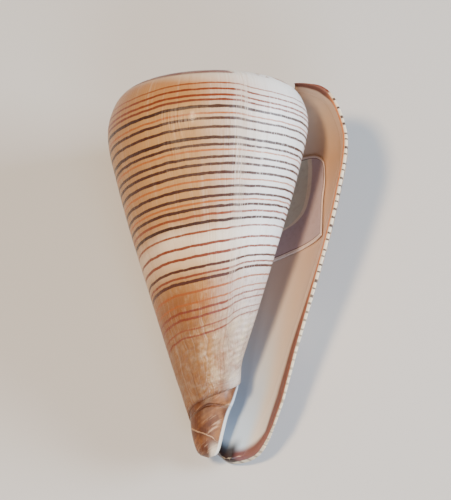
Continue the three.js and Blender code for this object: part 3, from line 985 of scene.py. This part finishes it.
def pillar_colour(tree, depth, side, place, crease, thread):
    """Colour of the pillar: brown cords in front, a pale glaze on the side of the opening."""
    bent = node(tree, "ShaderNodeVectorRotate", {"rotation_type": "Z_AXIS"}, Vector=place,
                Angle=PILLAR_CORD_SLANT)
    stretched = node(tree, "ShaderNodeVectorMath", {"operation": "MULTIPLY"},
                     Vector=bent.outputs["Vector"])
    stretched.inputs[1].default_value = PILLAR_CORD_SCALE
    cords = noise(tree, stretched.outputs["Vector"], 1.0, 4.0, 0.6)
    blotches = noise(tree, place, 0.3, 3.0)
    tip = ramp(depth, *PALE_TIP) * ramp(side, -0.1, 0.5)
    brown = painted(mix(ramp(blotches, 0.35, 0.65), PILLAR_DARK, PILLAR_LIGHT), [
        (ramp(cords, 0.5, 0.38) * 0.55, PILLAR_CORD_DARK),
        (ramp(cords, 0.56, 0.68) * 0.5, PILLAR_CORD_LIGHT),
        (crease * 0.55, PILLAR_CREASE),
        (thread * 0.6, PILLAR_THREAD),
        (tip * 0.8, PILLAR_TIP),
    ])
    glazed = ramp(side + (depth - 136.0) * 0.03, 0.84, 0.92)
    return mix(glazed, brown, mix(ramp(depth, *CREAM_GLAZE), GLAZE_BLUISH, GLAZE_CREAM))


def lining_colour(tree, depth, gap, end_gap, back, place):
    """Colour of the inside, with a brown line just inside the lip, wider round the front end,
    painted shadow in the notch and painted cool skylight low down.
    """
    cloud = noise(tree, place, 0.08, 2.0) - 0.5
    low = ramp(depth, *LOW_ON_LIP)
    high = fall(depth, *TOP_OF_LIP)
    new = fall(back, *NEW_LINING)
    wider = low * (1 - ramp(depth, *NARROWER_RIM) * 0.55) * RIM_WIDER_LOW + high * RIM_WIDER_TOP
    width = RIM_WIDTH + wider
    rim = 1 - ramp_between(gap, width * 0.8, width * 1.35)
    rim = rim.highest(fall(end_gap, *BROWN_END) * new)
    # Painted shadow on the floor of the notch at the front end.
    notch_shadow = fall(end_gap, *NOTCH_END) * ramp(back, *NOTCH) * new
    # Painted light: the shaded lining low down tinted blue, as by cool skylight.
    deep = ramp(back, *SKYLIT_LINING_SPAN) * (0.15 + ramp(depth, *SKYLIT_LINING_DEPTHS) * 0.7)
    brown = mix(high, RIM_BROWN, RIM_TOP_BROWN)
    lining = colours(depth + cloud * 6 * ramp(depth, *BELOW_SHOULDER), LINING, DEPTH_REACH)
    return painted(lining, [
        (deep, SKYLIGHT_PAINTED_BLUE),
        (rim * 0.92, mix(low.highest(high), RIM_ORANGE, brown)),
        (notch_shadow * 0.95, NOTCH_PAINTED_SHADOW),
    ])


def lip_face(tree, depth, back, across, through, gap, end_gap):
    """Mask and paint of the pale edge of the lip, with its short dark ticks."""
    ticks = noise(tree, vector(tree, 0.0, depth * 0.4, 0.0), 1.0, 1.0)
    ticks = ramp(wave(depth / TICK_SPACING + ticks), 0.5, 0.85) * fall(across, 0.54, 0.66)
    at_lip = fall(gap, *LIP_EDGE) * ramp(depth, *TICKED_LIP)
    at_end = fall(end_gap, *END_EDGE) * fall(back, *TICKED_END)
    face = mix(ticks * (1 - ramp(depth, *FAINT_TICKS) * 0.5), LIP_FACE, LIP_TICK)
    return fall(through, 0.6, 0.68) * at_lip.highest(at_end), face


def new_material(name):
    """A material, its node tree and its shader."""
    material = bpy.data.materials.new(name)
    material.use_nodes = True
    return material, material.node_tree, material.node_tree.nodes["Principled BSDF"]


def shell_material():
    """Glossy shell: painted outside, pale lining, ticked lip and brown pillar."""
    material, tree, shader = new_material("shell")
    depth, back, across, gap, end_gap = (
        attribute(tree, name) for name in ("lip_depth", "back", "across", "lip_gap", "end_gap"))
    place = node(tree, "ShaderNodeTexCoord").outputs["Object"]
    place = node(tree, "ShaderNodeVectorMath", {"operation": "SCALE"}, Vector=place,
                 Scale=1 / MM).outputs["Vector"]
    growth = node(tree, "ShaderNodeGroup", {"node_tree": growth_group()}, Depth=depth, Back=back)
    streaks = Field(tree, growth.outputs["Streaks"])
    through = across + ramp(depth, *THIN_LIP) * 0.12
    inward = ramp(through, 0.52, 0.62)
    on_pillar = ramp(depth, *ON_PILLAR)
    side = (back - PILLAR_BACK) / PILLAR_SPAN
    crease, thread = pillar_marks(depth, side)
    cut, face = lip_face(tree, depth, back, across, through, gap, end_gap)
    feed(tree, shader.inputs["Base Color"], painted(
        outside_colour(tree, depth, back, end_gap, place, streaks), [
            (inward, lining_colour(tree, depth, gap, end_gap, back, place)),
            (cut, face),
            (on_pillar, pillar_colour(tree, depth, side, place, crease, thread)),
        ]))
    matt = cut.highest(fall(gap, *MATT_LIP) * inward)
    outside_rougher = (streaks * STREAKS_ROUGHER + OUTSIDE_ROUGHER) * (1 - inward)
    feed(tree, shader.inputs["Roughness"], SHELL_ROUGHNESS + outside_rougher + matt * MATT_ROUGHER)
    feed(tree, shader.inputs["Coat Weight"], (1 - matt) * (1 - on_pillar * 0.6) * SHELL_COAT)
    height = Field(tree, growth.outputs["Height"]) * (1 - inward) * (1 - on_pillar * 0.85)
    height = height + (thread * THREAD_HEIGHT - crease * CREASE_DEPTH) * on_pillar
    bump = node(tree, "ShaderNodeBump", Strength=1.0, Distance=MM, Height=height)
    feed(tree, shader.inputs["Normal"], bump.outputs["Normal"])
    shader.inputs["Specular IOR Level"].default_value = SHELL_SPECULAR
    shader.inputs["Coat Roughness"].default_value = SHELL_COAT_ROUGHNESS
    return material


def paper_material():
    """Blank printed paper: pale margin, thin dark line inside it, then plain fields."""
    material, tree, shader = new_material("label_paper")
    side, foot, head, back, depth = (
        attribute(tree, name) for name in ("from_side", "from_foot", "from_head", "back", "depth"))
    inward = side.lowest(foot).lowest(head)
    from_line = (inward - LABEL_MARGIN).math("ABSOLUTE")
    beyond = back - table(depth, LABEL_PANEL, LABEL_PANEL_SPAN, LABEL_PANEL_REACH)
    place = node(tree, "ShaderNodeTexCoord").outputs["Object"]
    fibres = noise(tree, place, 900.0, 4.0, 0.6)
    feed(tree, shader.inputs["Base Color"], painted(
        mix(ramp(beyond, -1.6, -0.8), PAPER_BAND, PAPER), [
            (ramp(beyond, 1.4, 2.2), PAPER_FIELD),
            (fall(inward, LABEL_MARGIN - 0.1, LABEL_MARGIN), PAPER_MARGIN),
            (fall(from_line, LABEL_LINE * 0.6, LABEL_LINE * 1.6) * 0.85, PAPER_LINE),
            (ramp(fibres, 0.45, 0.75) * 0.18, PAPER_FIBRE),
        ]))
    feed(tree, shader.inputs["Roughness"], PAPER_ROUGHNESS + fibres * 0.2)
    shader.inputs["Specular IOR Level"].default_value = PAPER_SPECULAR
    bump = node(tree, "ShaderNodeBump", Strength=0.25, Distance=MM * 0.1, Height=fibres)
    feed(tree, shader.inputs["Normal"], bump.outputs["Normal"])
    return material


def floor_material():
    material, _, shader = new_material("floor")
    shader.inputs["Base Color"].default_value = (*FLOOR_COLOUR, 1.0)
    shader.inputs["Roughness"].default_value = FLOOR_ROUGHNESS
    return material


def build_camera():
    data = bpy.data.cameras.new("camera")
    data.sensor_width = SENSOR
    data.lens = FOCAL_PIXELS * SENSOR / IMAGE_HEIGHT
    camera = bpy.data.objects.new("camera", data)
    backward = (CAMERA_PLACE - CAMERA_TARGET).normalized()
    turn = backward.to_track_quat("Z", "Y").to_matrix()
    camera.matrix_world = (Matrix.Translation(CAMERA_PLACE * MM)
                           @ (turn @ Matrix.Rotation(CAMERA_ROLL, 3, "Z")).to_4x4())
    bpy.context.scene.collection.objects.link(camera)
    bpy.context.scene.camera = camera


def build_floor():
    mesh = bpy.data.meshes.new("floor")
    corners = [(x * FLOOR_HALF_SIZE, y * FLOOR_HALF_SIZE, 0.0)
               for x, y in ((-1, -1), (1, -1), (1, 1), (-1, 1))]
    mesh.from_pydata(corners, [], [(0, 1, 2, 3)])
    mesh.materials.append(floor_material())
    floor = bpy.data.objects.new("floor", mesh)
    bpy.context.scene.collection.objects.link(floor)


def build_light(name, place, power, size, colour):
    """A square light that faces the middle of the floor."""
    data = bpy.data.lights.new(name, "AREA")
    data.energy = power
    data.size = size
    data.color = colour
    light = bpy.data.objects.new(name, data)
    light.location = place
    light.rotation_euler = Vector(place).to_track_quat("Z", "Y").to_euler()
    bpy.context.scene.collection.objects.link(light)


def build_sky():
    world = bpy.data.worlds.new("world")
    world.use_nodes = True
    background = world.node_tree.nodes["Background"]
    background.inputs["Color"].default_value = (*SKY_COLOUR, 1.0)
    background.inputs["Strength"].default_value = SKY_STRENGTH
    bpy.context.scene.world = world


def build_piece(name, build, profile, material, solid):
    """One piece, grown in place of its solid."""
    sizes = [("Width rate", WIDTH_RATE), ("Depth rate", DEPTH_RATE),
             ("Apex height", APEX_HEIGHT), ("Lip angle", LIP_ANGLE), ("Wall", 1.0)]
    tree = grow_tree("Grow " + name, build, sizes, profile, material)
    piece = grown_object(name, tree, sizes)
    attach(piece, "root")
    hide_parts(solid)


build_camera()
build_floor()
for light in LIGHTS:
    build_light(*light)
build_sky()
profile_tree = profile_group()
build_piece("cone_shell", shell_shape, profile_tree, shell_material(), "shell")
build_piece("blank_label", label_shape, profile_tree, paper_material(), "paper_label")
